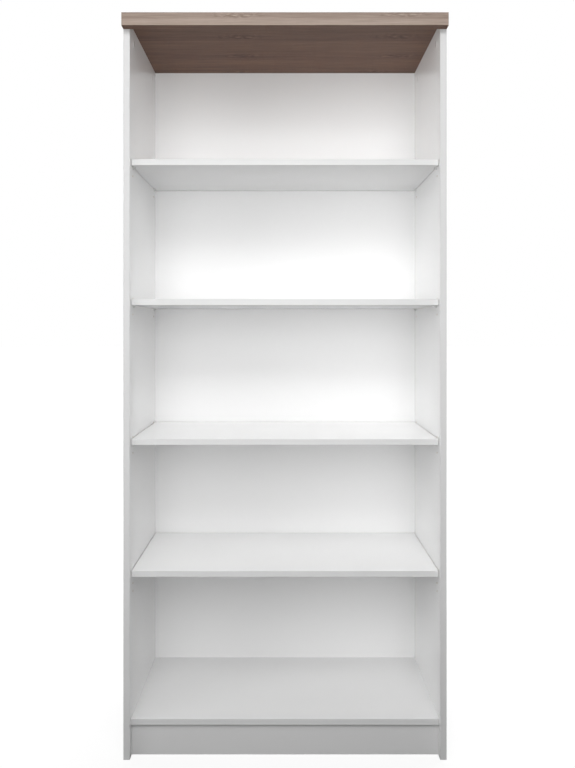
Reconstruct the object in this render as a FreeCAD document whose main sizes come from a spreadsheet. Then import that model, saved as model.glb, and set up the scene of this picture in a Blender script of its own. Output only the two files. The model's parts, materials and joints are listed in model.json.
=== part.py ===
"""Bookcase with four adjustable shelves, made of laminated chipboard.

A plain carcass stands on its two side panels. The wood-decor top lies on the sides and reaches forward
over them, with a strip glued under its front edge that doubles its thickness there. The bottom panel and
the plinth board sit between the sides, and a thin back panel is nailed over the rear edges. Each shelf
lies loose on four plastic pins, which push into drilled rows in the sides. The shelves and the bottom
panel are of slightly thinner board than the rest.

Frame, in millimetres: origin on the floor under the middle of the bookcase, X to the right as seen from
the front, Y towards the back and Z up.
"""
import FreeCAD, Part
import os
import Sketcher

SIZES = {
    # the whole
    "width": 800,
    "depth": 380,
    "height": 1840,
    # boards, edge bands and back panel
    "board": 16,
    "shelf_board": 15,
    "band": 1,
    "band_round": 0.8,
    "back_sheet": 3,
    "back_inset": 2,
    # where the fronts stand
    "top_overhang": 23,
    "shelf_setback": 15,
    "plinth_setback": 23,
    "plinth_high": 78,
    # shelves
    "shelf_gap": 1,
    "hole_step": 20,
    "hole_rows": 3,
    "front_column": 37,
    "column_span": 288,
    "lowest_raise": 20,
    # shelf pins
    "pin_hole": 5,
    "pin_hole_deep": 10,
    "pin_stem": 4.9,
    "pin_stem_long": 9,
    "pin_drop": 3,
    "pin_reach": 7,
    "pin_tall": 6,
    "pin_wide": 6,
    "pin_lip": 2,
    "pin_foot": 2,
    "pin_chamfer": 0.5,
    # cam locks and their bolts
    "cam_bore": 15,
    "cam_bore_deep": 12.5,
    "cam_wide": 14.8,
    "cam_thick": 12.3,
    "cam_reach": 34,
    "cam_inset": 50,
    "cam_socket": 7.4,
    "cam_socket_past": 3,
    "cross_long": 6,
    "cross_slot": 1.3,
    "cross_deep": 2,
    "cap_wide": 17,
    "cap_thick": 0.8,
    "cap_plug_long": 5.6,
    "cap_plug_slot": 1,
    "cap_plug_deep": 1.6,
    "bolt_bore": 8,
    "thread_bore": 5,
    "thread_wide": 4.9,
    "thread_long": 11,
    "thread_bore_deep": 11.5,
    "shank_wide": 7,
    "shank_long": 22,
    "neck_wide": 3.5,
    "neck_long": 8.5,
    "head_wide": 6.5,
    "head_long": 4.5,
    "plinth_cam_high": 54,
    # dowels
    "dowel_bore": 8,
    "dowel_wide": 7.9,
    "dowel_long": 30,
    "dowel_tip": 1,
    "dowel_face_deep": 12,
    "dowel_edge_deep": 19,
    "dowel_offset": 50,
    "plinth_dowel_high": 22,
    # back panel nails
    "nail_bore": 1.5,
    "nail_bore_deep": 18,
    "nail_wide": 1.4,
    "nail_long": 20,
    "nail_head": 3,
    "nail_head_bore": 3.2,
    "nail_head_deep": 0.8,
    "side_nails": 17,
    "side_nail_first": 118,
    "side_nail_step": 105,
    "rail_nails": 7,
    "rail_nail_step": 105,
}
TIP_TAPER = -45
SHELVES = 4
LOWEST_SHELF = 1
SIDES = {"left": -1, "right": 1}

# Faces and lines of the bookcase, as expressions of the sheet's cells.
HALF_WIDE = "Size.width / 2"
INNER = "(Size.width / 2 - Size.board)"
MID_SIDE = "(Size.width / 2 - Size.board / 2)"
TOP_UNDER = "(Size.height - Size.board)"
TOP_MID = "(Size.height - Size.board / 2)"
STRIP_UNDER = "(Size.height - 2 * Size.board)"
TOP_FRONT = "(-Size.depth / 2)"
SIDE_FRONT = "(Size.top_overhang - Size.depth / 2)"
SHELF_FRONT = "(Size.top_overhang - Size.depth / 2 + Size.shelf_setback)"
PLINTH_FRONT = "(Size.top_overhang - Size.depth / 2 + Size.plinth_setback)"
PLINTH_MID = f"({PLINTH_FRONT} + Size.board / 2)"
BACK_FACE = "(Size.depth / 2 - Size.back_sheet)"
BOTTOM_TOP = "(Size.plinth_high + Size.shelf_board)"
BOTTOM_MID = "(Size.plinth_high + Size.shelf_board / 2)"
CLEAR = f"(({TOP_UNDER} - {BOTTOM_TOP} - {SHELVES} * Size.shelf_board) / {SHELVES + 1})"
FRONT_COLUMN = f"({SIDE_FRONT} + Size.front_column)"
COLUMNS = {"front": FRONT_COLUMN, "rear": f"({FRONT_COLUMN} + Size.column_span)"}
CAM_FRONT = f"({SIDE_FRONT} + Size.cam_inset)"
CAM_REAR = f"({BACK_FACE} - Size.cam_inset)"
CAM_SPAN = f"({CAM_REAR} - {CAM_FRONT})"
DOWEL_FRONT = f"({CAM_FRONT} + Size.dowel_offset)"
DOWEL_REAR = f"({CAM_REAR} - Size.dowel_offset)"
DOWEL_SPAN = f"({DOWEL_REAR} - {DOWEL_FRONT})"
CAM_X = f"({INNER} - Size.cam_reach)"
CAM_Z = f"({TOP_UNDER} - Size.cam_reach)"

doc = FreeCAD.newDocument("bookcase")
sheet = doc.addObject("Spreadsheet::Sheet", "Size")
for row, (alias, number) in enumerate(SIZES.items(), start=1):
    sheet.set(f"A{row}", alias)
    sheet.set(f"B{row}", str(number))
    sheet.setAlias(f"B{row}", alias)
doc.recompute()


def value(expression):
    """The number that an expression of the sheet's cells gives now."""
    return float(sheet.evalExpression(expression))


def even_shelf(number):
    """Underside height at which shelf `number`, counted from the bottom, divides the bookcase evenly."""
    return f"({BOTTOM_TOP} + {number} * {CLEAR} + {number - 1} * Size.shelf_board)"


def shelf_under(number):
    """Underside height of a shelf. The lowest one is set one row of holes higher than even."""
    raised = " + Size.lowest_raise" if number == LOWEST_SHELF else ""
    return f"({even_shelf(number)}{raised})"


# ---------------------------------------------------------------- helpers for bodies and sketches
sub_parts = []


def new_body(label):
    body = doc.addObject("PartDesign::Body", label)
    body.Label = label
    sub_parts.append(body)
    return body


def origin_plane(body, role):
    return next(item for item in body.Origin.OriginFeatures if item.Role == role)


def new_sketch(body, role, offset="0"):
    """A sketch on one of the body's origin planes, moved `offset` along the plane's normal."""
    sketch = body.newObject("Sketcher::SketchObject", f"{body.Name}_sketch")
    sketch.AttachmentSupport = [(origin_plane(body, role), "")]
    sketch.MapMode = "FlatFace"
    sketch.setExpression("AttachmentOffset.Base.z", offset)
    return sketch


def pin_point(sketch, geometry, position, name, across, up):
    """Hold one point of a sketch at the place that two expressions give."""
    for kind, axis, suffix, expression in (
        ("DistanceX", -2, "across", across),
        ("DistanceY", -1, "up", up),
    ):
        number = value(expression)
        if abs(number) < 1e-9:
            sketch.addConstraint(Sketcher.Constraint("PointOnObject", geometry, position, axis))
            continue
        index = sketch.addConstraint(Sketcher.Constraint(kind, -1, 1, geometry, position, number))
        sketch.renameConstraint(index, f"{name}_{suffix}")
        sketch.setExpression(f"Constraints.{name}_{suffix}", expression)


def draw_polygon(sketch, name, corners):
    """A closed outline of straight lines. Each corner is a pair of expressions."""
    points = [FreeCAD.Vector(value(across), value(up), 0) for across, up in corners]
    first = sketch.GeometryCount
    count = len(points)
    for i in range(count):
        sketch.addGeometry(Part.LineSegment(points[i], points[(i + 1) % count]))
    for i in range(count):
        following = first + (i + 1) % count
        sketch.addConstraint(Sketcher.Constraint("Coincident", first + i, 2, following, 1))
    for i, (across, up) in enumerate(corners):
        pin_point(sketch, first + i, 1, f"{name}_{i}", across, up)


def draw_rectangle(sketch, name, left, right, low, high):
    draw_polygon(sketch, name, [(left, low), (right, low), (right, high), (left, high)])


def draw_circles(sketch, name, diameter, centres):
    """One circle of the given diameter at each centre, a pair of expressions."""
    for i, (across, up) in enumerate(centres):
        centre = FreeCAD.Vector(value(across), value(up), 0)
        radius = value(diameter) / 2
        index = sketch.addGeometry(Part.Circle(centre, FreeCAD.Vector(0, 0, 1), radius))
        constraint = sketch.addConstraint(Sketcher.Constraint("Diameter", index, 2 * radius))
        sketch.renameConstraint(constraint, f"{name}_{i}_size")
        sketch.setExpression(f"Constraints.{name}_{i}_size", diameter)
        pin_point(sketch, index, 3, f"{name}_{i}", across, up)


def draw_cross(sketch, name, centre, length, slot):
    """The outline of a cross about a centre: three corners in each quadrant."""
    far = f"{length} / 2"
    near = f"{slot} / 2"
    corners = []
    for turn, (side, rise) in enumerate([("+", "+"), ("-", "+"), ("-", "-"), ("+", "-")]):
        steps = [(far, near), (near, near), (near, far)]
        if turn % 2:
            steps.reverse()
        for across, up in steps:
            corners.append((f"{centre[0]} {side} {across}", f"{centre[1]} {rise} {up}"))
    draw_polygon(sketch, name, corners)


def pad(body, sketch, length, reverse=False, both_ways=False):
    feature = body.newObject("PartDesign::Pad", f"{body.Name}_pad")
    feature.Profile = sketch
    feature.Reversed = reverse
    feature.Midplane = both_ways
    feature.setExpression("Length", length)
    body.Tip = feature
    doc.recompute()
    return feature


def pocket(body, sketch, length, reverse=False):
    """Cut `length` deep against the sketch's normal, or along it when reversed."""
    before = body.Shape.Volume
    feature = body.newObject("PartDesign::Pocket", f"{body.Name}_pocket")
    feature.Profile = sketch
    feature.Reversed = reverse
    feature.setExpression("Length", length)
    body.Tip = feature
    doc.recompute()
    if not body.Shape.Volume < before:
        raise RuntimeError(f"{feature.Name} in {body.Label} cuts nothing")
    return feature


def repeat(body, features, transformations):
    """Repeat features by a list of ("line", sketch, axis, step, count) and ("mirror", plane role)."""
    multi = body.newObject("PartDesign::MultiTransform", f"{body.Name}_repeat")
    multi.Originals = features
    steps = []
    for kind, *settings in transformations:
        if kind == "line":
            sketch, axis, step, count = settings
            move = body.newObject("PartDesign::LinearPattern", f"{body.Name}_line")
            move.Direction = (sketch, [axis])
            move.setExpression("Length", f"{step} * ({count} - 1)")
            move.setExpression("Occurrences", count)
        else:
            move = body.newObject("PartDesign::Mirrored", f"{body.Name}_mirror")
            move.MirrorPlane = (origin_plane(body, settings[0]), [""])
        steps.append(move)
    multi.Transformations = steps
    body.Tip = multi
    doc.recompute()
    return multi


def round_edges(body, radius, wanted):
    """Fillet the edges of the tip whose middle point passes the test."""
    tip = body.Tip
    names = []
    for i, edge in enumerate(tip.Shape.Edges, start=1):
        middle = edge.valueAt((edge.FirstParameter + edge.LastParameter) / 2)
        if wanted(middle):
            names.append(f"Edge{i}")
    fillet = body.newObject("PartDesign::Fillet", f"{body.Name}_fillet")
    fillet.Base = (tip, names)
    fillet.setExpression("Radius", radius)
    body.Tip = fillet
    doc.recompute()
    return fillet


def place(body, across="0", along="0", up="0", turn=0):
    """Set the body's Placement: three expressions and a turn about Z in degrees."""
    body.Placement.Rotation = FreeCAD.Rotation(FreeCAD.Vector(0, 0, 1), turn)
    body.setExpression("Placement.Base.x", across)
    body.setExpression("Placement.Base.y", along)
    body.setExpression("Placement.Base.z", up)
    doc.recompute()


# ---------------------------------------------------------------- boards
def make_side_panel(name, sign):
    """A side panel, drawn with its inner face on the body's own YZ plane and placed at the inner width.

    Outward is -X on the left and +X on the right, so what is cut from the inner face goes that way.
    """
    body = new_body(f"side_panel_{name}")
    outward = sign > 0
    outline = new_sketch(body, "YZ_Plane")
    front = f"({SIDE_FRONT} + Size.band)"
    draw_rectangle(outline, "board", front, BACK_FACE, "0", TOP_UNDER)
    pad(body, outline, "Size.board", reverse=not outward)

    rows = new_sketch(body, "YZ_Plane")
    lowest_row = "Size.pin_drop + Size.hole_step"
    centres = [
        (column, f"{even_shelf(number)} - ({lowest_row})")
        for number in range(1, SHELVES + 1)
        for column in COLUMNS.values()
    ]
    draw_circles(rows, "pin", "Size.pin_hole", centres)
    holes = pocket(body, rows, "Size.pin_hole_deep", reverse=outward)
    repeat(body, [holes], [("line", rows, "V_Axis", "Size.hole_step", "Size.hole_rows")])

    threads = new_sketch(body, "YZ_Plane")
    bolt_places = [
        (CAM_FRONT, BOTTOM_MID),
        (CAM_REAR, BOTTOM_MID),
        (PLINTH_MID, "Size.plinth_cam_high"),
    ]
    draw_circles(threads, "thread", "Size.thread_bore", bolt_places)
    pocket(body, threads, "Size.thread_bore_deep", reverse=outward)

    dowels = new_sketch(body, "YZ_Plane")
    dowel_places = [
        (DOWEL_FRONT, BOTTOM_MID),
        (DOWEL_REAR, BOTTOM_MID),
        (PLINTH_MID, "Size.plinth_dowel_high"),
    ]
    draw_circles(dowels, "dowel", "Size.dowel_bore", dowel_places)
    pocket(body, dowels, "Size.dowel_face_deep", reverse=outward)

    cams = new_sketch(body, "YZ_Plane")
    draw_circles(cams, "cam", "Size.cam_bore", [(CAM_FRONT, CAM_Z), (CAM_REAR, CAM_Z)])
    pocket(body, cams, "Size.cam_bore_deep", reverse=outward)

    middle = f"{sign} * Size.board / 2"
    bolts = new_sketch(body, "XY_Plane", TOP_UNDER)
    draw_circles(bolts, "bolt", "Size.bolt_bore", [(middle, CAM_FRONT), (middle, CAM_REAR)])
    pocket(body, bolts, "Size.cam_reach")

    top_dowels = new_sketch(body, "XY_Plane", TOP_UNDER)
    draw_circles(top_dowels, "dowel", "Size.dowel_bore", [(middle, DOWEL_FRONT), (middle, DOWEL_REAR)])
    pocket(body, top_dowels, "Size.dowel_edge_deep")

    nails = new_sketch(body, "XZ_Plane", f"-{BACK_FACE}")
    draw_circles(nails, "nail", "Size.nail_bore", [(middle, "Size.side_nail_first")])
    nail = pocket(body, nails, "Size.nail_bore_deep", reverse=True)
    repeat(body, [nail], [("line", nails, "V_Axis", "Size.side_nail_step", "Size.side_nails")])
    place(body, across=f"{sign} * {INNER}")


def make_top_panel():
    """The top, banded on its front and ends, with what is drilled into its underside and rear edge."""
    body = new_body("top_panel")
    outline = new_sketch(body, "XY_Plane", TOP_UNDER)
    half = f"({HALF_WIDE} - Size.band)"
    draw_rectangle(outline, "board", f"-{half}", half, f"{TOP_FRONT} + Size.band", BACK_FACE)
    pad(body, outline, "Size.board")

    for name, bore, depth, front, span in (
        ("thread", "Size.thread_bore", "Size.thread_bore_deep", CAM_FRONT, CAM_SPAN),
        ("dowel", "Size.dowel_bore", "Size.dowel_face_deep", DOWEL_FRONT, DOWEL_SPAN),
    ):
        holes = new_sketch(body, "XY_Plane", TOP_UNDER)
        draw_circles(holes, name, bore, [(MID_SIDE, front)])
        hole = pocket(body, holes, depth, reverse=True)
        repeat(body, [hole], [("line", holes, "V_Axis", span, "2"), ("mirror", "YZ_Plane")])
    drill_rear_edge(body, TOP_MID)


def make_bottom_panel():
    """The bottom panel between the sides, with cam bores in its underside and bolt bores in its ends."""
    body = new_body("bottom_panel")
    outline = new_sketch(body, "XY_Plane", "Size.plinth_high")
    draw_rectangle(outline, "board", f"-{INNER}", INNER, f"{SHELF_FRONT} + Size.band", BACK_FACE)
    pad(body, outline, "Size.shelf_board")

    cams = new_sketch(body, "XY_Plane", "Size.plinth_high")
    draw_circles(cams, "cam", "Size.cam_bore", [(CAM_X, CAM_FRONT)])
    cam = pocket(body, cams, "Size.cam_bore_deep", reverse=True)
    repeat(body, [cam], [("line", cams, "V_Axis", CAM_SPAN, "2"), ("mirror", "YZ_Plane")])

    for name, bore, depth, front, span in (
        ("bolt", "Size.bolt_bore", "Size.cam_reach", CAM_FRONT, CAM_SPAN),
        ("dowel", "Size.dowel_bore", "Size.dowel_edge_deep", DOWEL_FRONT, DOWEL_SPAN),
    ):
        holes = new_sketch(body, "YZ_Plane", INNER)
        draw_circles(holes, name, bore, [(front, BOTTOM_MID)])
        hole = pocket(body, holes, depth)
        repeat(body, [hole], [("line", holes, "H_Axis", span, "2"), ("mirror", "YZ_Plane")])
    drill_rear_edge(body, BOTTOM_MID)


def drill_rear_edge(body, height):
    """The row of nail holes in the rear edge of the top or bottom panel."""
    nails = new_sketch(body, "XZ_Plane", f"-{BACK_FACE}")
    first = "-Size.rail_nail_step * (Size.rail_nails - 1) / 2"
    draw_circles(nails, "nail", "Size.nail_bore", [(first, height)])
    nail = pocket(body, nails, "Size.nail_bore_deep", reverse=True)
    repeat(body, [nail], [("line", nails, "H_Axis", "Size.rail_nail_step", "Size.rail_nails")])


def make_top_front_strip():
    """The strip glued under the top's front edge, in front of the side panels."""
    body = new_body("top_front_strip")
    outline = new_sketch(body, "XY_Plane", STRIP_UNDER)
    half = f"({HALF_WIDE} - Size.band)"
    draw_rectangle(outline, "strip", f"-{half}", half, f"{TOP_FRONT} + Size.band", SIDE_FRONT)
    pad(body, outline, "Size.board")


def make_plinth_board():
    """The plinth board, on the floor between the sides, with its cam and dowel bores."""
    body = new_body("plinth_board")
    outline = new_sketch(body, "XY_Plane")
    draw_rectangle(outline, "board", f"-{INNER}", INNER, PLINTH_FRONT, f"{PLINTH_FRONT} + Size.board")
    pad(body, outline, "Size.plinth_high")

    cams = new_sketch(body, "XZ_Plane", f"-({PLINTH_FRONT} + Size.board)")
    draw_circles(cams, "cam", "Size.cam_bore", [(CAM_X, "Size.plinth_cam_high")])
    cam = pocket(body, cams, "Size.cam_bore_deep", reverse=True)
    repeat(body, [cam], [("mirror", "YZ_Plane")])

    for name, bore, depth, height in (
        ("bolt", "Size.bolt_bore", "Size.cam_reach", "Size.plinth_cam_high"),
        ("dowel", "Size.dowel_bore", "Size.dowel_edge_deep", "Size.plinth_dowel_high"),
    ):
        holes = new_sketch(body, "YZ_Plane", INNER)
        draw_circles(holes, name, bore, [(PLINTH_MID, height)])
        hole = pocket(body, holes, depth)
        repeat(body, [hole], [("mirror", "YZ_Plane")])


NAIL_ROWS = (
    ("side", MID_SIDE, "Size.side_nail_first", "V_Axis", "Size.side_nail_step", "Size.side_nails"),
    ("top", "-Size.rail_nail_step * (Size.rail_nails - 1) / 2", TOP_MID, "H_Axis", "Size.rail_nail_step",
     "Size.rail_nails"),
    ("bottom", "-Size.rail_nail_step * (Size.rail_nails - 1) / 2", BOTTOM_MID, "H_Axis",
     "Size.rail_nail_step", "Size.rail_nails"),
)


def nail_moves(row, sketch, axis, step, count):
    """How one row of nails repeats: along its line, and the side row on both sides."""
    moves = [("line", sketch, axis, step, count)]
    if row == "side":
        moves.append(("mirror", "YZ_Plane"))
    return moves


def make_back_panel():
    """The thin back panel over the rear edges, drilled and sunk for its nails."""
    body = new_body("back_panel")
    outline = new_sketch(body, "XZ_Plane", f"-{BACK_FACE}")
    half = f"({HALF_WIDE} - Size.back_inset)"
    low = "Size.plinth_high + Size.back_inset"
    draw_rectangle(outline, "sheet", f"-{half}", half, low, "Size.height - Size.back_inset")
    pad(body, outline, "Size.back_sheet", reverse=True)
    for row, across, up, axis, step, count in NAIL_ROWS:
        for bore, depth in (
            ("Size.nail_bore", "Size.back_sheet"),
            ("Size.nail_head_bore", "Size.nail_head_deep"),
        ):
            holes = new_sketch(body, "XZ_Plane", "-Size.depth / 2")
            draw_circles(holes, "nail", bore, [(across, up)])
            hole = pocket(body, holes, depth, reverse=True)
            repeat(body, [hole], nail_moves(row, holes, axis, step, count))


def make_shelf(number):
    """A loose shelf with a clear gap at each end and behind, banded on its front edge."""
    under = shelf_under(number)
    half = f"({INNER} - Size.shelf_gap)"
    body = new_body(f"shelf_{number}_board")
    outline = new_sketch(body, "XY_Plane")
    rear = f"{BACK_FACE} - Size.shelf_gap"
    draw_rectangle(outline, "board", f"-{half}", half, f"{SHELF_FRONT} + Size.band", rear)
    pad(body, outline, "Size.shelf_board")
    place(body, up=under)
    make_front_band(f"shelf_{number}_edge_band", half, SHELF_FRONT, under, "Size.shelf_board")


# ---------------------------------------------------------------- edge bands
def make_front_band(label, half, front, low, tall, ends=False, square=None):
    """A lying edge band along the front of a board, its outer edges rounded.

    The two short outer edges are rounded too where the band wraps the board's corners. `square` is the
    height in the band of a long edge that stays square, because another band meets it there.
    """
    body = new_body(label)
    outline = new_sketch(body, "XZ_Plane")
    draw_rectangle(outline, "band", f"-{half}", half, "0", tall)
    pad(body, outline, "Size.band", reverse=True)

    def rounded(middle):
        long_edge = abs(middle.x) < 0.01
        meets_band = square is not None and long_edge and abs(middle.z - value(square)) < 0.01
        return middle.y < 0.01 and (long_edge or ends) and not meets_band

    round_edges(body, "Size.band_round", rounded)
    place(body, along=front, up=low)


def make_side_band(name, sign):
    """The standing edge band on the front edge of a side panel."""
    body = new_body(f"side_edge_band_{name}")
    outline = new_sketch(body, "XY_Plane")
    draw_rectangle(outline, "band", "-Size.board / 2", "Size.board / 2", "0", "Size.band")
    pad(body, outline, TOP_UNDER)
    ends = (0, value(TOP_UNDER))
    round_edges(body, "Size.band_round", lambda middle: middle.y < 0.01 and ends[0] < middle.z < ends[1])
    place(body, across=f"{sign} * {MID_SIDE}", along=SIDE_FRONT)


def make_top_end_band(name, sign):
    """The edge band on one end of the top, its outer top edge rounded."""
    body = new_body(f"top_edge_band_{name}")
    outline = new_sketch(body, "YZ_Plane")
    draw_rectangle(outline, "band", f"{TOP_FRONT} + Size.band", BACK_FACE, "0", "Size.board")
    pad(body, outline, "Size.band", reverse=sign > 0)
    upper = value("Size.board") - 0.01
    round_edges(
        body,
        "Size.band_round",
        lambda middle: abs(middle.x) < 0.01 and middle.z > upper,
    )
    place(body, across=f"{sign} * {HALF_WIDE}", up=TOP_UNDER)


def make_strip_end_bands():
    """The two short edge bands on the ends of the strip under the top's front edge."""
    body = new_body("strip_end_edge_bands")
    outline = new_sketch(body, "YZ_Plane", f"{HALF_WIDE} - Size.band")
    draw_rectangle(outline, "band", f"{TOP_FRONT} + Size.band", SIDE_FRONT, STRIP_UNDER, TOP_UNDER)
    end = pad(body, outline, "Size.band")
    repeat(body, [end], [("mirror", "YZ_Plane")])


# ---------------------------------------------------------------- fittings
BOLT_STEPS = (
    ("Size.thread_wide", "Size.thread_long"),
    ("Size.shank_wide", "Size.shank_long"),
    ("Size.neck_wide", "Size.neck_long"),
    ("Size.head_wide", "Size.head_long"),
)
NAIL_STEPS = (
    ("Size.nail_head", "Size.nail_head_deep"),
    ("Size.nail_wide", "(Size.nail_long - Size.nail_head_deep)"),
)
# Cams, bolts and dowels stand in pairs, one near the front and one near the back, on both sides.
BOTH_SIDES = [("mirror", "YZ_Plane")]


def four_places(sketch, axis, span):
    """Moves from the front place on the right to the rear one, and to the left side."""
    return [("line", sketch, axis, span, "2")] + BOTH_SIDES


def turned(body, role, centre, start, steps, forward=False):
    """Round pads end to end from `start`, against the plane's normal unless `forward`."""
    pads = []
    reached = start
    sign = "+" if forward else "-"
    for diameter, length in steps:
        sketch = new_sketch(body, role, reached)
        draw_circles(sketch, "round", diameter, [centre])
        pads.append(pad(body, sketch, length, reverse=not forward))
        reached = f"{reached} {sign} {length}"
    return pads, sketch


def make_bolts(label, role, centre, face, axis=None):
    """Cam bolts: the thread goes past the joint's face into one board, the head into the other's cam."""
    body = new_body(label)
    pads, sketch = turned(body, role, centre, f"{face} + Size.thread_long", BOLT_STEPS)
    repeat(body, pads, four_places(sketch, axis, CAM_SPAN) if axis else BOTH_SIDES)


def make_dowels(label, role, centre, face, axis=None):
    """Wooden dowels across a joint's face, with tapered tips."""
    body = new_body(label)
    past_face = "(Size.dowel_face_deep - Size.dowel_tip)"
    straight = "(Size.dowel_long - 2 * Size.dowel_tip)"
    top = f"{face} + {past_face} - Size.dowel_tip"
    pads, sketch = turned(body, role, centre, top, [("Size.dowel_wide", straight)])
    for start, reverse in ((top, False), (f"{top} - {straight}", True)):
        tip_sketch = new_sketch(body, role, start)
        draw_circles(tip_sketch, "tip", "Size.dowel_wide", [centre])
        tip = pad(body, tip_sketch, "Size.dowel_tip", reverse=reverse)
        tip.TaperAngle = TIP_TAPER
        pads.append(tip)
    doc.recompute()
    repeat(body, pads, four_places(sketch, axis, DOWEL_SPAN) if axis else BOTH_SIDES)


def make_cams(label, role, face, centre, socket_role, rim, socket_centre, axis=None):
    """Cam locks, let into a board along the plane's normal from `face`.

    Each has a cross recess in its open face, and a round socket from its rim that takes a bolt's head.
    """
    body = new_body(label)
    outline = new_sketch(body, role, face)
    draw_circles(outline, "cam", "Size.cam_wide", [centre])
    housing = pad(body, outline, "Size.cam_thick")
    recess = new_sketch(body, role, face)
    draw_cross(recess, "cross", centre, "Size.cross_long", "Size.cross_slot")
    cross = pocket(body, recess, "Size.cross_deep", reverse=True)
    socket = new_sketch(body, socket_role, f"{rim} + Size.cam_wide / 2")
    draw_circles(socket, "socket", "Size.cam_socket", [socket_centre])
    bore = pocket(body, socket, "Size.cam_wide / 2 + Size.cam_socket_past")
    moves = four_places(outline, axis, CAM_SPAN) if axis else BOTH_SIDES
    repeat(body, [housing, cross, bore], moves)


def make_cam_caps():
    """The plastic caps over the top cam locks: a thin disc on the side's inner face and a cross plug."""
    body = new_body("top_cam_caps")
    outline = new_sketch(body, "YZ_Plane", INNER)
    draw_circles(outline, "disc", "Size.cap_wide", [(CAM_FRONT, CAM_Z)])
    disc = pad(body, outline, "Size.cap_thick", reverse=True)
    cross = new_sketch(body, "YZ_Plane", INNER)
    draw_cross(cross, "plug", (CAM_FRONT, CAM_Z), "Size.cap_plug_long", "Size.cap_plug_slot")
    plug = pad(body, cross, "Size.cap_plug_deep")
    repeat(body, [disc, plug], four_places(outline, "H_Axis", CAM_SPAN))


def make_back_panel_nails():
    """Flat-headed wire nails, their heads sunk level with the back panel."""
    body = new_body("back_panel_nails")
    for row, across, up, axis, step, count in NAIL_ROWS:
        pads, sketch = turned(
            body, "XZ_Plane", (across, up), "-Size.depth / 2", NAIL_STEPS, forward=True
        )
        repeat(body, pads, nail_moves(row, sketch, axis, step, count))


def make_shelf_pin(label, sign, column, under):
    """A plastic shelf pin: a stem in the side's hole and a bracket with a flat top under the shelf.

    It is drawn with the wall on its own YZ plane, reaching to +X, and turned about for the right side.
    """
    body = new_body(label)
    profile = new_sketch(body, "XZ_Plane")
    corners = [
        ("0", "0"),
        ("Size.pin_reach", "0"),
        ("Size.pin_reach", "-Size.pin_lip"),
        ("Size.pin_foot", "-Size.pin_tall"),
        ("0", "-Size.pin_tall"),
    ]
    draw_polygon(profile, "bracket", corners)
    pad(body, profile, "Size.pin_wide", both_ways=True)
    half_wide = value("Size.pin_wide / 2")
    round_edges(
        body,
        "Size.pin_chamfer",
        lambda middle: abs(abs(middle.y) - half_wide) < 0.01 and middle.z < -0.1 and middle.x > 0.1,
    )
    round_stem = new_sketch(body, "YZ_Plane")
    draw_circles(round_stem, "stem", "Size.pin_stem", [("0", "-Size.pin_drop")])
    stem = pad(body, round_stem, "Size.pin_stem_long", reverse=True)
    tip_x = -value("Size.pin_stem_long")
    tip = [
        f"Edge{i}"
        for i, edge in enumerate(stem.Shape.Edges, start=1)
        if abs(edge.BoundBox.XMin - tip_x) < 0.01 and edge.BoundBox.XLength < 0.01
    ]
    chamfer = body.newObject("PartDesign::Chamfer", f"{label}_chamfer")
    chamfer.Base = (stem, tip)
    chamfer.setExpression("Size", "Size.pin_chamfer")
    body.Tip = chamfer
    place(body, f"{sign} * {INNER}", column, under, turn=180 if sign > 0 else 0)


# ---------------------------------------------------------------- the whole bookcase
for side_name, side_sign in SIDES.items():
    make_side_panel(side_name, side_sign)
    make_side_band(side_name, side_sign)
    make_top_end_band(side_name, side_sign)

make_top_panel()
make_top_front_strip()
make_front_band("top_front_edge_band", HALF_WIDE, TOP_FRONT, TOP_UNDER, "Size.board", True, "0")
make_front_band("strip_front_edge_band", HALF_WIDE, TOP_FRONT, STRIP_UNDER, "Size.board", True, "Size.board")
make_strip_end_bands()
make_bottom_panel()
make_front_band("bottom_edge_band", INNER, SHELF_FRONT, "Size.plinth_high", "Size.shelf_board")
make_plinth_board()
make_back_panel()
make_back_panel_nails()

make_cams(
    "top_cam_locks", "YZ_Plane", INNER, (CAM_FRONT, CAM_Z), "XY_Plane", CAM_Z, (MID_SIDE, CAM_FRONT), "H_Axis"
)
make_cams(
    "bottom_cam_locks", "XY_Plane", "Size.plinth_high", (CAM_X, CAM_FRONT), "YZ_Plane", CAM_X,
    (CAM_FRONT, BOTTOM_MID), "V_Axis"
)
make_cams(
    "plinth_cam_locks", "XZ_Plane", f"-({PLINTH_FRONT} + Size.board)", (CAM_X, "Size.plinth_cam_high"),
    "YZ_Plane", CAM_X, (PLINTH_MID, "Size.plinth_cam_high")
)
make_cam_caps()
make_bolts("top_cam_bolts", "XY_Plane", (MID_SIDE, CAM_FRONT), TOP_UNDER, "V_Axis")
make_bolts("bottom_cam_bolts", "YZ_Plane", (CAM_FRONT, BOTTOM_MID), INNER, "H_Axis")
make_bolts("plinth_cam_bolts", "YZ_Plane", (PLINTH_MID, "Size.plinth_cam_high"), INNER)
make_dowels("top_dowels", "XY_Plane", (MID_SIDE, DOWEL_FRONT), TOP_UNDER, "V_Axis")
make_dowels("bottom_dowels", "YZ_Plane", (DOWEL_FRONT, BOTTOM_MID), INNER, "H_Axis")
make_dowels("plinth_dowels", "YZ_Plane", (PLINTH_MID, "Size.plinth_dowel_high"), INNER)

for shelf_number in range(1, SHELVES + 1):
    make_shelf(shelf_number)
    for side_name, side_sign in SIDES.items():
        for column_name, column_place in COLUMNS.items():
            pin_label = f"shelf_{shelf_number}_pin_{column_name}_{side_name}"
            make_shelf_pin(pin_label, side_sign, column_place, shelf_under(shelf_number))

# ---------------------------------------------------------------- check and write
doc.recompute()
for item in doc.Objects:
    if "Invalid" in item.State or "Error" in item.State:
        raise RuntimeError(f"{item.Name} ({item.Label}) failed: {item.State}")
for body in sub_parts:
    if body.Shape.isNull() or not body.Shape.isValid():
        raise RuntimeError(f"{body.Label} has no valid shape")

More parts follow.
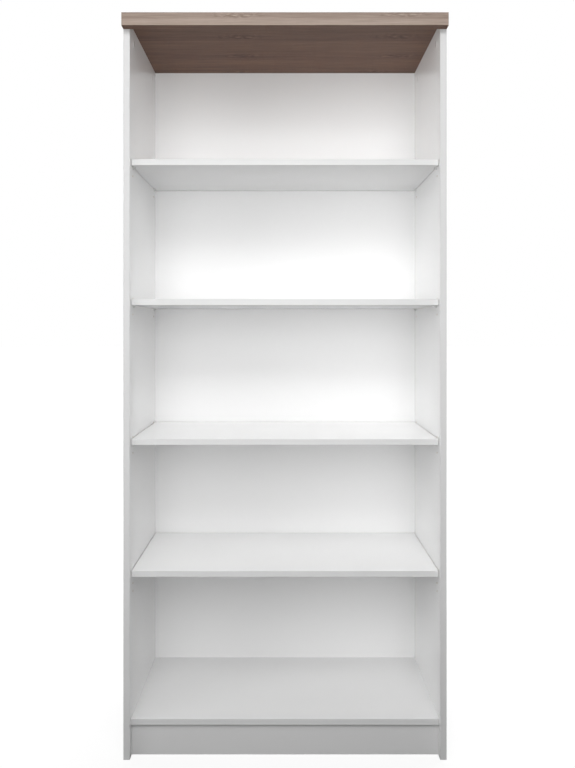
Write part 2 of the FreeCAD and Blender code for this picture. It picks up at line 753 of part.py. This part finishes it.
os.makedirs("parts", exist_ok=True)
for body in sub_parts:
    body.Shape.exportStep(f"parts/{body.Label}.step")
    box = body.Shape.BoundBox
    print(
        f"{body.Label:28s} solids {len(body.Shape.Solids):3d}"
        f"  x {box.XMin:8.2f} {box.XMax:8.2f}  y {box.YMin:8.2f} {box.YMax:8.2f}"
        f"  z {box.ZMin:8.2f} {box.ZMax:8.2f}  volume {body.Shape.Volume:12.1f}"
    )
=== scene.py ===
"""Looks for the bookcase: laminate, wood decor, hardboard and fittings, studio light and the camera."""

import json
import math

import bpy
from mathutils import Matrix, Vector

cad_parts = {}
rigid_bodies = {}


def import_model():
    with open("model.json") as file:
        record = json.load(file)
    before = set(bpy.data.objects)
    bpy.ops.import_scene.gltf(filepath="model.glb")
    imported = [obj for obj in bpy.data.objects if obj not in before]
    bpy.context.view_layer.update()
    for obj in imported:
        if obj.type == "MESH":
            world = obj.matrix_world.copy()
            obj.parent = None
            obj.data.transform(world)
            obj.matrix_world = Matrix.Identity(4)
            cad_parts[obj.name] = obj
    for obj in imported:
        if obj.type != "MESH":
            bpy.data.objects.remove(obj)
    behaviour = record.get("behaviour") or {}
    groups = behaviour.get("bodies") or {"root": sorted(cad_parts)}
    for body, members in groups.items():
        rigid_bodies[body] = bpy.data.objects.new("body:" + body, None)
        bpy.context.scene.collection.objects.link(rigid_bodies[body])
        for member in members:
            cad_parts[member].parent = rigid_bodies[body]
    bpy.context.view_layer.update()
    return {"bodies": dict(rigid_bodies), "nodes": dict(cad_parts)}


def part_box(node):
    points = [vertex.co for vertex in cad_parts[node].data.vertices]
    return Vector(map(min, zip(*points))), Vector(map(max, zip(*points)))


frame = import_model()

NODES = frame["nodes"]
SHELVES = sorted(body for body in frame["bodies"] if body.startswith("shelf") and "pin" not in body)

# ---------------------------------------------------------------- places taken from the frame, in metres
TOP_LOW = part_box("top_panel")[0]
SIDE_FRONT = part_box("side_edge_band_right")[0].y
BAND_SEAM_Z = TOP_LOW.z
FIRST_PLANK = 0.1364  # metres from the top board's front edge to its first plank seam
PLANK_SEAM_Y = TOP_LOW.y + FIRST_PLANK

# ---------------------------------------------------------------- tones
WHITE = (0.90, 0.90, 0.90)
# painted light: the shelves' tops are given whiter than the sides' laminate, as though lit from above
SHELF_WHITE_PAINTED_LIGHT = (0.95, 0.95, 0.95)
# painted shade: the shelves' undersides are a darker grey copy of the same white
SHELF_PAINTED_SHADE_BELOW = (0.74, 0.74, 0.74)
# painted shade: the bottom board is given a darker white than the shelves, as though dimmer near the
# floor
BOTTOM_WHITE_PAINTED_SHADE = (0.82, 0.82, 0.82)
# painted shade: the plinth's front is given a much darker white, for its recess near the floor
PLINTH_WHITE_PAINTED_SHADE = (0.61, 0.61, 0.61)
BACK_WHITE = (0.90, 0.90, 0.90)
# painted shade: the edge bands are given much darker than the laminate, so the front edges look less lit
# than the inside
BAND_WHITE_PAINTED_SHADE = (0.61, 0.61, 0.61)
SIDE_BAND_WHITE_PAINTED_SHADE = (0.57, 0.57, 0.57)
CAP_WHITE = (0.80, 0.80, 0.79)
# painted shade: the shelf pins are a mid grey, so that they sink into the shadow under the shelves
PIN_GREY_PAINTED_SHADE = (0.60, 0.60, 0.59)
CHIPBOARD_DARK = (0.20, 0.125, 0.065)
CHIPBOARD_LIGHT = (0.56, 0.42, 0.26)
HARDBOARD_DARK = (0.115, 0.058, 0.028)
HARDBOARD_LIGHT = (0.27, 0.155, 0.083)
OAK_DARK = (0.168, 0.115, 0.085)
OAK_LIGHT = (0.367, 0.295, 0.250)
OAK_PORE = (0.13, 0.085, 0.06)
# painted shade: faces that look down are painted a darker, redder brown than the decor itself
OAK_UNDERSIDE_PAINTED_SHADE = (1.88, 1.58, 1.42)  # the underside's colour is the decor's squared, times this
ZINC_DARK = (0.36, 0.37, 0.38)
ZINC_LIGHT = (0.60, 0.61, 0.62)
STEEL_DARK = (0.38, 0.38, 0.39)
STEEL_LIGHT = (0.62, 0.62, 0.62)
BEECH_DARK = (0.50, 0.30, 0.16)
BEECH_LIGHT = (0.68, 0.46, 0.28)
BEECH_FLECK = (0.30, 0.15, 0.07)
FLOOR_DARK = (0.11, 0.11, 0.11)
FLOOR_LIGHT = (0.13, 0.13, 0.13)


# ---------------------------------------------------------------- node helpers
class Recipe:
    """A material's node tree, built one node at a time."""

    def __init__(self, name):
        self.material = bpy.data.materials.new(name)
        self.material.use_nodes = True
        self.tree = self.material.node_tree
        self.tree.nodes.clear()
        self.output = self.tree.nodes.new("ShaderNodeOutputMaterial")
        self.shader = self.tree.nodes.new("ShaderNodeBsdfPrincipled")
        self.link(self.shader.outputs["BSDF"], self.output.inputs["Surface"])

    def link(self, source, target):
        self.tree.links.new(source, target)

    def put(self, socket, content):
        """Set a socket to a number or colour, or link it to another node's output."""
        if isinstance(content, bpy.types.NodeSocket):
            self.link(content, socket)
        else:
            socket.default_value = content

    def put_colour(self, socket, content):
        """Set a colour socket to a tone of three numbers, or link it."""
        self.put(socket, content if isinstance(content, bpy.types.NodeSocket) else (*content, 1.0))

    def node(self, kind, inputs=None, **settings):
        made = self.tree.nodes.new(kind)
        for name, setting in settings.items():
            setattr(made, name, setting)
        for name, content in (inputs or {}).items():
            self.put(made.inputs[name], content)
        return made

    def math(self, operation, first, second=0.0, third=0.0, clamp=False):
        made = self.node("ShaderNodeMath", operation=operation, use_clamp=clamp)
        for socket, content in zip(made.inputs, (first, second, third)):
            self.put(socket, content)
        return made.outputs[0]

    def add(self, first, second):
        return self.math("ADD", first, second)

    def multiply(self, first, second):
        return self.math("MULTIPLY", first, second)

    def step(self, amount, low, high, to_low=0.0, to_high=1.0):
        """A smooth step of `amount` from low to high."""
        made = self.node("ShaderNodeMapRange", interpolation_type="SMOOTHSTEP")
        for name, content in (
            ("Value", amount),
            ("From Min", low),
            ("From Max", high),
            ("To Min", to_low),
            ("To Max", to_high),
        ):
            self.put(made.inputs[name], content)
        return made.outputs["Result"]

    def where(self):
        """The surface point in metres, in the frame's own axes at rest."""
        return self.node("ShaderNodeTexCoord").outputs["Object"]

    def place(self):
        """The surface point's X, Y and Z."""
        return self.node("ShaderNodeSeparateXYZ", {"Vector": self.where()}).outputs

    def facing(self):
        """The X, Y and Z of the surface's normal, without bump."""
        normal = self.node("ShaderNodeTexCoord").outputs["Normal"]
        return self.node("ShaderNodeSeparateXYZ", {"Vector": normal}).outputs

    def vector(self, x, y, z=0.0):
        made = self.node("ShaderNodeCombineXYZ")
        for socket, content in zip(made.inputs, (x, y, z)):
            self.put(socket, content)
        return made.outputs[0]

    def noise(self, where, scale, detail=2.0, roughness=0.5, distortion=0.0):
        inputs = {
            "Vector": where,
            "Scale": scale,
            "Detail": detail,
            "Roughness": roughness,
            "Distortion": distortion,
        }
        return self.node("ShaderNodeTexNoise", inputs).outputs["Fac"]

    def cells(self, where, scale):
        """A random colour for each of many small cells."""
        return self.node("ShaderNodeTexVoronoi", {"Vector": where, "Scale": scale}).outputs["Color"]

    def mix(self, share, first, second):
        """A colour between two colours."""
        made = self.node("ShaderNodeMix", data_type="RGBA")
        self.put(made.inputs[0], share)
        for socket, content in ((made.inputs[6], first), (made.inputs[7], second)):
            self.put_colour(socket, content)
        return made.outputs[2]

    def tint(self, share, colour, tone):
        """The colour multiplied by a tone, in part or in full."""
        made = self.node("ShaderNodeMix", data_type="RGBA", blend_type="MULTIPLY")
        self.put(made.inputs[0], share)
        for socket, content in ((made.inputs[6], colour), (made.inputs[7], tone)):
            self.put_colour(socket, content)
        return made.outputs[2]

    def blend_numbers(self, share, first, second):
        made = self.node("ShaderNodeMix", data_type="FLOAT")
        for socket, content in ((0, share), (2, first), (3, second)):
            self.put(made.inputs[socket], content)
        return made.outputs[0]

    def bump(self, height, distance, strength=1.0):
        inputs = {"Height": height, "Distance": distance, "Strength": strength}
        self.link(self.node("ShaderNodeBump", inputs).outputs[0], self.shader.inputs["Normal"])

    def finish(self, colour, roughness, **settings):
        self.put(self.shader.inputs["Base Color"], colour)
        self.put(self.shader.inputs["Roughness"], roughness)
        for name, content in settings.items():
            self.shader.inputs[name.replace("_", " ")].default_value = content
        return self.material


AXES = {"X": 0, "Y": 1, "Z": 2}
RAW_ROUGHNESS = 0.9
SQUARE_ON = 0.7  # the normal's share along an axis, past which a face counts as looking along it


# ---------------------------------------------------------------- surfaces
def chipboard(recipe):
    """Colour and height of a sawn chipboard edge: pressed flakes of pale and darker wood."""
    where = recipe.where()
    flakes = recipe.cells(where, 900.0)
    shade = recipe.node("ShaderNodeSeparateColor", {"Color": flakes}).outputs[0]
    grain = recipe.noise(where, 1400.0, 3.0)
    tone = recipe.math("MULTIPLY_ADD", shade, 0.65, recipe.multiply(grain, 0.35))
    colour = recipe.mix(tone, CHIPBOARD_DARK, CHIPBOARD_LIGHT)
    return colour, tone


def white_colour(recipe, where, tone):
    """White melamine is one tone, with only a very faint drift over a board."""
    drift = recipe.noise(where, 2.5, 2.0)
    low = tuple(0.985 * c for c in tone)
    return recipe.mix(drift, low, tone)


def white_laminate(name, through, tone, painted_shade_below=None):
    """Satin white laminate on a board's two faces, raw chipboard on its edges and in its bores.

    `through` is the axis through the board's thickness. The last argument, when given, is a darker tone
    for faces that look down, which is painted shade.
    """
    recipe = Recipe(name)
    where = recipe.where()
    face = recipe.math("ABSOLUTE", recipe.facing()[AXES[through]])
    on_face = recipe.math("GREATER_THAN", face, SQUARE_ON)
    raw, raw_height = chipboard(recipe)
    white = white_colour(recipe, where, tone)
    if painted_shade_below:
        # painted shade: a face that looks down takes the darker tone, where one is given
        looks_down_painted_shade = recipe.math("LESS_THAN", recipe.facing()[2], -SQUARE_ON)
        white = recipe.mix(looks_down_painted_shade, white, white_colour(recipe, where, painted_shade_below))
    colour = recipe.mix(on_face, raw, white)
    pearl = recipe.noise(where, 650.0, 3.0, 0.6)
    hazy = recipe.noise(where, 7.0, 3.0)
    satin = recipe.add(recipe.multiply(pearl, 0.07), recipe.multiply(hazy, 0.05))
    roughness = recipe.blend_numbers(on_face, RAW_ROUGHNESS, recipe.add(satin, 0.14))
    height = recipe.blend_numbers(on_face, raw_height, recipe.multiply(pearl, 0.12))
    recipe.bump(height, 0.0004, 0.6)
    return recipe.finish(colour, roughness, Specular_IOR_Level=0.5)


def white_band(name, tone):
    """White edge banding: duller in sheen than the laminate, with a fine ripple. Its tone is given darker
    than the laminate's, as painted shade on the front edges.
    """
    recipe = Recipe(name)
    where = recipe.where()
    colour = white_colour(recipe, where, tone)
    ripple = recipe.noise(where, 240.0, 2.0)
    roughness = recipe.add(recipe.multiply(ripple, 0.08), 0.38)
    recipe.bump(ripple, 0.00025, 0.25)
    return recipe.finish(colour, roughness, Specular_IOR_Level=0.45)


# the decor's planks and knots, in metres
PLANK = 0.132
KNOT_SPACING = 0.40
KNOT_MIDDLE = 0.085
KNOT_LONG = 0.048


def knot_places(recipe, run, row, in_row, knot_in_row):
    """Place of a point from its plank's nearest knot, along and across the grain, in metres.

    Every plank has one knot in each stretch of its length, a little off the stretch's middle.
    """
    from_middle = recipe.math("SUBTRACT", run, KNOT_MIDDLE)
    stretch_place = recipe.multiply(from_middle, 1 / KNOT_SPACING)
    cell = recipe.vector(recipe.math("FLOOR", stretch_place), row)
    chance = recipe.node("ShaderNodeTexWhiteNoise", {"Vector": cell}, noise_dimensions="2D")
    random = recipe.node("ShaderNodeSeparateColor", {"Color": chance.outputs["Color"]}).outputs
    knot_run = recipe.math("MULTIPLY_ADD", random[0], 0.16, 0.42)
    knot_side = recipe.math("MULTIPLY_ADD", random[1], 0.05, knot_in_row)
    in_stretch = recipe.math("FRACT", stretch_place)
    along = recipe.multiply(recipe.math("SUBTRACT", in_stretch, knot_run), KNOT_SPACING)
    across = recipe.multiply(recipe.math("SUBTRACT", in_row, knot_side), PLANK)
    return along, across, random[2]


def knot_marks(recipe, along, across, row, wide):
    """How strongly a knot shows at a point, and its slanting dark and pale feather marks from 0 to 1."""
    reach = recipe.vector(recipe.multiply(along, 1 / KNOT_LONG), recipe.multiply(across, 1 / wide))
    away = recipe.node("ShaderNodeVectorMath", {0: reach}, operation="LENGTH").outputs["Value"]
    near = recipe.step(away, 0.1, 1.9, 1.0, 0.0)
    slanted = recipe.math("MULTIPLY_ADD", across, 0.012 / wide, along)
    place = recipe.vector(recipe.multiply(slanted, 75.0), recipe.multiply(across, 1.8 / wide), row)
    feathers = recipe.noise(place, 1.0, 2.0, 0.5, 0.6)
    return near, feathers


def oak(name, along, across, seam, toward, knot_wide, knot_in_row, plank_fade, raw_across=None):
    """Grey-brown oak decor, printed as planks that are pale at the near edge and darker at the far edge.

    The grain runs along one axis. `seam` is the place across the grain where a plank starts, and
    `toward` is the way its tone darkens, by `plank_fade`. The knots are `knot_wide` metres from middle
    to edge, and lie at `knot_in_row` of the plank's width. Faces that look along `raw_across` are sawn
    chipboard. Faces that look down are painted a deeper, redder brown, which is painted shade.
    """
    recipe = Recipe(name)
    place = recipe.place()
    run = place[AXES[along]]
    side = recipe.multiply(recipe.math("SUBTRACT", place[AXES[across]], seam), toward)
    row_place = recipe.multiply(side, 1 / PLANK)
    row = recipe.math("FLOOR", row_place)
    in_row = recipe.math("FRACT", row_place)
    knot_along, knot_across, chance = knot_places(recipe, run, row, in_row, knot_in_row)
    near, feathers = knot_marks(recipe, knot_along, knot_across, row, knot_wide)

    # the grain wanders, and opens a little round the knots
    wander = recipe.noise(
        recipe.vector(recipe.multiply(run, 4.0), recipe.multiply(side, 14.0), row), 1.0, 2.0
    )
    bent = recipe.add(side, recipe.multiply(wander, 0.005))
    bent = recipe.add(bent, recipe.multiply(recipe.multiply(near, knot_across), -0.5))
    bands = recipe.noise(
        recipe.vector(recipe.multiply(run, 3.5), recipe.multiply(bent, 75.0), row), 1.0, 3.0, 0.55
    )
    streaks = recipe.noise(
        recipe.vector(recipe.multiply(run, 12.0), recipe.multiply(bent, 380.0), row), 1.0, 4.0, 0.62
    )
    pores = recipe.noise(
        recipe.vector(recipe.multiply(run, 55.0), recipe.multiply(bent, 2400.0), row), 1.0, 2.0, 0.5
    )
    pore_lines = recipe.step(pores, 0.56, 0.72)

    tone = recipe.math("MULTIPLY_ADD", recipe.step(in_row, 0.0, 1.0), -plank_fade, 0.5 + plank_fade / 2)
    for layer, strength in ((bands, 0.62), (streaks, 0.95), (chance, 0.06)):
        tone = recipe.add(tone, recipe.multiply(recipe.math("SUBTRACT", layer, 0.5), strength))
    knot_tone = recipe.multiply(recipe.math("SUBTRACT", feathers, 0.54), 3.0)
    tone = recipe.add(tone, recipe.multiply(near, knot_tone))
    colour = recipe.mix(recipe.math("ADD", tone, 0.0, clamp=True), OAK_DARK, OAK_LIGHT)
    colour = recipe.mix(recipe.multiply(pore_lines, 0.20), colour, OAK_PORE)
    # painted shade: faces that look down get the darker, redder underside brown
    looks_down_painted_shade = recipe.math("LESS_THAN", recipe.facing()[2], -SQUARE_ON)
    colour = recipe.tint(looks_down_painted_shade, colour, recipe.tint(1.0, colour, OAK_UNDERSIDE_PAINTED_SHADE))

    height = recipe.math("MULTIPLY_ADD", pore_lines, -0.7, recipe.multiply(streaks, 0.5))
    roughness = recipe.math("MULTIPLY_ADD", streaks, 0.12, 0.40)
    roughness = recipe.math("MULTIPLY_ADD", pore_lines, 0.12, roughness)
    if raw_across:
        raw, raw_height = chipboard(recipe)
        seen = recipe.math("ABSOLUTE", recipe.facing()[AXES[raw_across]])
        on_raw = recipe.math("GREATER_THAN", seen, SQUARE_ON)
        colour = recipe.mix(on_raw, colour, raw)
        roughness = recipe.blend_numbers(on_raw, roughness, RAW_ROUGHNESS)
        height = recipe.blend_numbers(on_raw, height, raw_height)
    recipe.bump(height, 0.00025, 0.5)
    return recipe.finish(colour, roughness, Specular_IOR_Level=0.3)


def hardboard(name):
    """The back panel: white lacquer towards the shelves, bare brown hardboard behind and in its holes."""
    recipe = Recipe(name)
    where = recipe.where()
    to_front = recipe.math("LESS_THAN", recipe.facing()[1], -SQUARE_ON)
    fibres = recipe.noise(where, 420.0, 4.0, 0.65, 0.8)
    clouds = recipe.noise(where, 9.0, 3.0)
    tone = recipe.math("MULTIPLY_ADD", fibres, 0.7, recipe.multiply(clouds, 0.3))
    brown = recipe.mix(tone, HARDBOARD_DARK, HARDBOARD_LIGHT)
    colour = recipe.mix(to_front, brown, white_colour(recipe, where, BACK_WHITE))
    grain = recipe.noise(where, 900.0, 2.0)
    roughness = recipe.blend_numbers(to_front, 0.72, recipe.math("MULTIPLY_ADD", grain, 0.08, 0.32))
    height = recipe.blend_numbers(to_front, tone, recipe.multiply(grain, 0.1))
    recipe.bump(height, 0.0005, 0.6)
    return recipe.finish(colour, roughness, Specular_IOR_Level=0.4)


def plastic(name, tone):
    """Moulded plastic of one tone, with the fine spark-eroded texture of its mould."""
    recipe = Recipe(name)
    where = recipe.where()
    sparks = recipe.noise(where, 2600.0, 2.0)
    drift = recipe.noise(where, 60.0, 1.0)
    colour = recipe.mix(drift, tuple(0.96 * c for c in tone), tone)
    recipe.bump(sparks, 0.00012, 0.35)
    return recipe.finish(colour, recipe.math("MULTIPLY_ADD", sparks, 0.12, 0.14))


def zinc(name):
    """Die-cast zinc: grey and softly mottled."""
    recipe = Recipe(name)
    where = recipe.where()
    mottle = recipe.noise(where, 700.0, 3.0, 0.6)
    colour = recipe.mix(mottle, ZINC_DARK, ZINC_LIGHT)
    recipe.bump(mottle, 0.0001, 0.4)
    return recipe.finish(colour, recipe.math("MULTIPLY_ADD", mottle, 0.2, 0.32), Metallic=1.0)


def nail_steel(name):
    """Bright nail wire, finely scuffed."""
    recipe = Recipe(name)
    where = recipe.where()
    marks = recipe.noise(where, 1800.0, 2.0)
    colour = recipe.mix(marks, STEEL_DARK, STEEL_LIGHT)
    recipe.bump(marks, 0.0001, 0.5)
    return recipe.finish(colour, recipe.math("MULTIPLY_ADD", marks, 0.25, 0.28), Metallic=1.0)


def beech(name, along):
    """Turned beech dowel: pale pink-brown with short dark flecks along the grain."""
    recipe = Recipe(name)
    place = recipe.place()
    scales = [900.0, 900.0, 900.0]
    scales[AXES[along]] = 60.0
    parts = [recipe.multiply(place[i], scales[i]) for i in range(3)]
    where = recipe.vector(*parts)
    grain = recipe.noise(where, 1.0, 3.0)
    fleck = recipe.step(recipe.noise(where, 2.2, 1.0), 0.58, 0.68)
    colour = recipe.mix(grain, BEECH_DARK, BEECH_LIGHT)
    colour = recipe.mix(recipe.multiply(fleck, 0.5), colour, BEECH_FLECK)
    recipe.bump(grain, 0.0002, 0.5)
    return recipe.finish(colour, 0.62)


# ---------------------------------------------------------------- dress the CAD nodes
def dress(material, *names):
    for name in names:
        for slot in NODES[name].material_slots:
            slot.material = material


dress(white_laminate("side_laminate", "X", WHITE), "side_panel_left", "side_panel_right")
# the shelves: painted light on their tops and painted shade on their undersides
dress(
    white_laminate("shelf_laminate_painted_light_and_shade", "Z", SHELF_WHITE_PAINTED_LIGHT, painted_shade_below=SHELF_PAINTED_SHADE_BELOW),
    *(f"{shelf}_board" for shelf in SHELVES),
)
# the bottom board's darker white is painted shade
dress(white_laminate("bottom_laminate_painted_shade", "Z", BOTTOM_WHITE_PAINTED_SHADE), "bottom_panel")
# the plinth's darker white is painted shade
dress(white_laminate("plinth_laminate_painted_shade", "Y", PLINTH_WHITE_PAINTED_SHADE), "plinth_board")
# the edge bands' darker whites are painted shade
dress(white_band("side_edging_painted_shade", SIDE_BAND_WHITE_PAINTED_SHADE), "side_edge_band_left", "side_edge_band_right")
dress(
    white_band("shelf_edging_painted_shade", BAND_WHITE_PAINTED_SHADE),
    "bottom_edge_band",
    *(f"{shelf}_edge_band" for shelf in SHELVES),
)
BOARD_DECOR = {"toward": 1.0, "knot_wide": 0.012, "knot_in_row": 0.76, "plank_fade": 0.12}
BAND_DECOR = {
    "seam": BAND_SEAM_Z,
    "toward": -1.0,
    "knot_wide": 0.0055,
    "knot_in_row": 0.90,
    "plank_fade": 0.20,
}
# the top board's underside is painted darker: painted shade
dress(
    oak("board_oak_painted_shade_below", "X", "Y", seam=PLANK_SEAM_Y, raw_across="Y", **BOARD_DECOR),
    "top_panel",
    "top_front_strip",
)
dress(oak("front_band_oak", "X", "Z", **BAND_DECOR), "top_front_edge_band", "strip_front_edge_band")
dress(
    oak("end_band_oak", "Y", "Z", **BAND_DECOR),
    "top_edge_band_left",
    "top_edge_band_right",
    "strip_end_edge_bands",
)
dress(hardboard("back_hardboard"), "back_panel")
dress(nail_steel("nail_wire"), "back_panel_nails")
dress(
    zinc("cast_zinc"),
    *(name for name in NODES if name.endswith(("cam_locks", "cam_bolts"))),
)
dress(plastic("cap_moulding", CAP_WHITE), "top_cam_caps")
# the pins' grey is painted shade
dress(plastic("pin_moulding_painted_shade", PIN_GREY_PAINTED_SHADE), *(name for name in NODES if "_pin_" in name))
dress(beech("upright_beech", "Z"), "top_dowels")
dress(beech("lying_beech", "X"), "bottom_dowels", "plinth_dowels")


# ---------------------------------------------------------------- stage, light and camera
FLOOR_REACH = 40.0
GLOW_FROM, GLOW_TO = 0.5, 1.8  # how far out the floor's glow rises, in metres
# painted shade: the floor glows less near the object than far out, a soft shadow painted round its base
GLOW_NEAR_PAINTED_SHADE, GLOW_FAR = 0.86, 1.02


def make_floor():
    """A plain pale floor, far larger than the view, which glows up to the backdrop's white. Its glow is
    weaker near the object, which paints a soft shade round its base.
    """
    mesh = bpy.data.meshes.new("floor")
    far = FLOOR_REACH
    corners = [(-far, -far, 0), (far, -far, 0), (far, far, 0), (-far, far, 0)]
    mesh.from_pydata(corners, [], [(0, 1, 2, 3)])
    floor = bpy.data.objects.new("floor", mesh)
    bpy.context.scene.collection.objects.link(floor)
    recipe = Recipe("studio_floor")
    where = recipe.where()
    tone = recipe.mix(recipe.noise(where, 3.0, 2.0), FLOOR_DARK, FLOOR_LIGHT)
    mesh.materials.append(recipe.finish(tone, 0.9, Specular_IOR_Level=0.0))
    away = recipe.node("ShaderNodeVectorMath", {0: where}, operation="LENGTH").outputs["Value"]
    recipe.shader.inputs["Emission Color"].default_value = (1.0, 1.0, 1.0, 1.0)
    # painted shade: the glow dips near the object
    glow_with_painted_shade = recipe.step(away, GLOW_FROM, GLOW_TO, GLOW_NEAR_PAINTED_SHADE, GLOW_FAR)
    recipe.put(recipe.shader.inputs["Emission Strength"], glow_with_painted_shade)
    floor.visible_diffuse = False
    floor.visible_glossy = False


# name, place, the point it is aimed at, size in metres, watts
FRONT_SOFTBOXES = (
    ("ceiling", (0.0, -2.8, 3.0), (0.0, -2.8, 0.0), (2.4, 1.8), 50.0),
    ("high_front", (0.0, -1.4, 2.2), (0.0, 0.0, 1.2), (1.6, 0.8), 9.0),
    ("wide_front", (0.0, -2.2, 1.3), (0.0, 0.0, 1.2), (2.4, 1.2), 13.0),
    ("low_front", (0.0, -2.2, 0.7), (0.0, 0.0, 1.5), (2.0, 0.8), 7.5),
    ("near_front", (0.0, -1.5, 1.2), (0.0, 0.0, 1.2), (0.6, 0.6), 3.0),
    ("left_front", (-2.4, -1.6, 1.3), (0.0, 0.0, 1.3), (1.2, 1.6), 19.0),
    ("left_high", (-1.6, -1.8, 2.6), (0.0, 0.0, 1.2), (0.8, 0.8), 3.0),
    ("right_front", (2.4, -1.6, 1.6), (0.0, 0.0, 1.3), (1.2, 1.2), 3.0),
    ("floor_bounce", (0.0, -1.2, 0.02), (0.0, -1.2, 1.0), (2.0, 1.2), 1.5),
)
REAR_SOFTBOXES = (
    ("left_rear", (-2.6, 1.3, 1.5), (-0.4, 0.0, 0.9), (1.6, 1.8), 28.0),
    ("right_rear", (2.6, 1.3, 1.5), (0.4, 0.0, 0.9), (1.6, 1.8), 55.0),
    ("rear", (0.0, 2.8, 1.9), (0.0, 0.2, 0.9), (2.2, 1.6), 45.0),
    ("above_rear", (0.0, 0.9, 3.4), (0.0, 0.1, 1.84), (1.6, 1.0), 40.0),
)


def make_softbox(name, place, target, size, power):
    """A rectangular lamp that the camera doesn't see."""
    data = bpy.data.lights.new(name, "AREA")
    data.shape = "RECTANGLE"
    data.size, data.size_y = size
    data.energy = power
    lamp = bpy.data.objects.new(name, data)
    lamp.location = place
    lamp.visible_camera = False
    lamp.rotation_mode = "QUATERNION"
    lamp.rotation_quaternion = (Vector(target) - Vector(place)).to_track_quat("-Z", "Y")
    bpy.context.scene.collection.objects.link(lamp)
    return lamp


def make_world():
    """White all round to the eye. As light it is only a weak fill, mostly from above."""
    world = bpy.data.worlds.new("studio")
    bpy.context.scene.world = world
    world.use_nodes = True
    tree = world.node_tree
    background = tree.nodes["Background"]
    where = tree.nodes.new("ShaderNodeTexCoord")
    split = tree.nodes.new("ShaderNodeSeparateXYZ")
    tree.links.new(where.outputs["Generated"], split.inputs[0])
    ramp = tree.nodes.new("ShaderNodeMapRange")
    ramp.interpolation_type = "SMOOTHSTEP"
    ramp.inputs["From Min"].default_value = 0.0
    ramp.inputs["From Max"].default_value = 0.3
    ramp.inputs["To Min"].default_value = 0.02
    ramp.inputs["To Max"].default_value = 0.18
    tree.links.new(split.outputs[2], ramp.inputs["Value"])
    eye = tree.nodes.new("ShaderNodeLightPath")
    pick = tree.nodes.new("ShaderNodeMix")
    pick.data_type = "FLOAT"
    tree.links.new(eye.outputs["Is Camera Ray"], pick.inputs[0])
    tree.links.new(ramp.outputs["Result"], pick.inputs[2])
    pick.inputs[3].default_value = 1.0
    tree.links.new(pick.outputs[0], background.inputs["Strength"])
    background.inputs["Color"].default_value = (1.0, 1.0, 1.0, 1.0)


CAMERA_AWAY = 1.793  # metres in front of the sides' front edges
CAMERA_HEIGHT = 1.066
LENS = 33.97  # millimetres, on a 36 mm sensor
SHIFT = (0.00325, -0.0716)


def make_camera():
    """Level, straight in front, with the frame shifted down to take in the floor."""
    data = bpy.data.cameras.new("camera")
    data.lens = LENS
    data.sensor_width = 36.0
    data.shift_x, data.shift_y = SHIFT
    camera = bpy.data.objects.new("camera", data)
    camera.location = (0.0, SIDE_FRONT - CAMERA_AWAY, CAMERA_HEIGHT)
    camera.rotation_euler = (math.pi / 2, 0.0, 0.0)
    bpy.context.scene.collection.objects.link(camera)
    bpy.context.scene.camera = camera


make_floor()
make_world()
for softbox in FRONT_SOFTBOXES:
    make_softbox(*softbox)
for softbox in REAR_SOFTBOXES:
    make_softbox(*softbox).visible_glossy = False
make_camera()
view_settings = bpy.context.scene.view_settings
view_settings.view_transform = "Standard"
view_settings.look = "None"
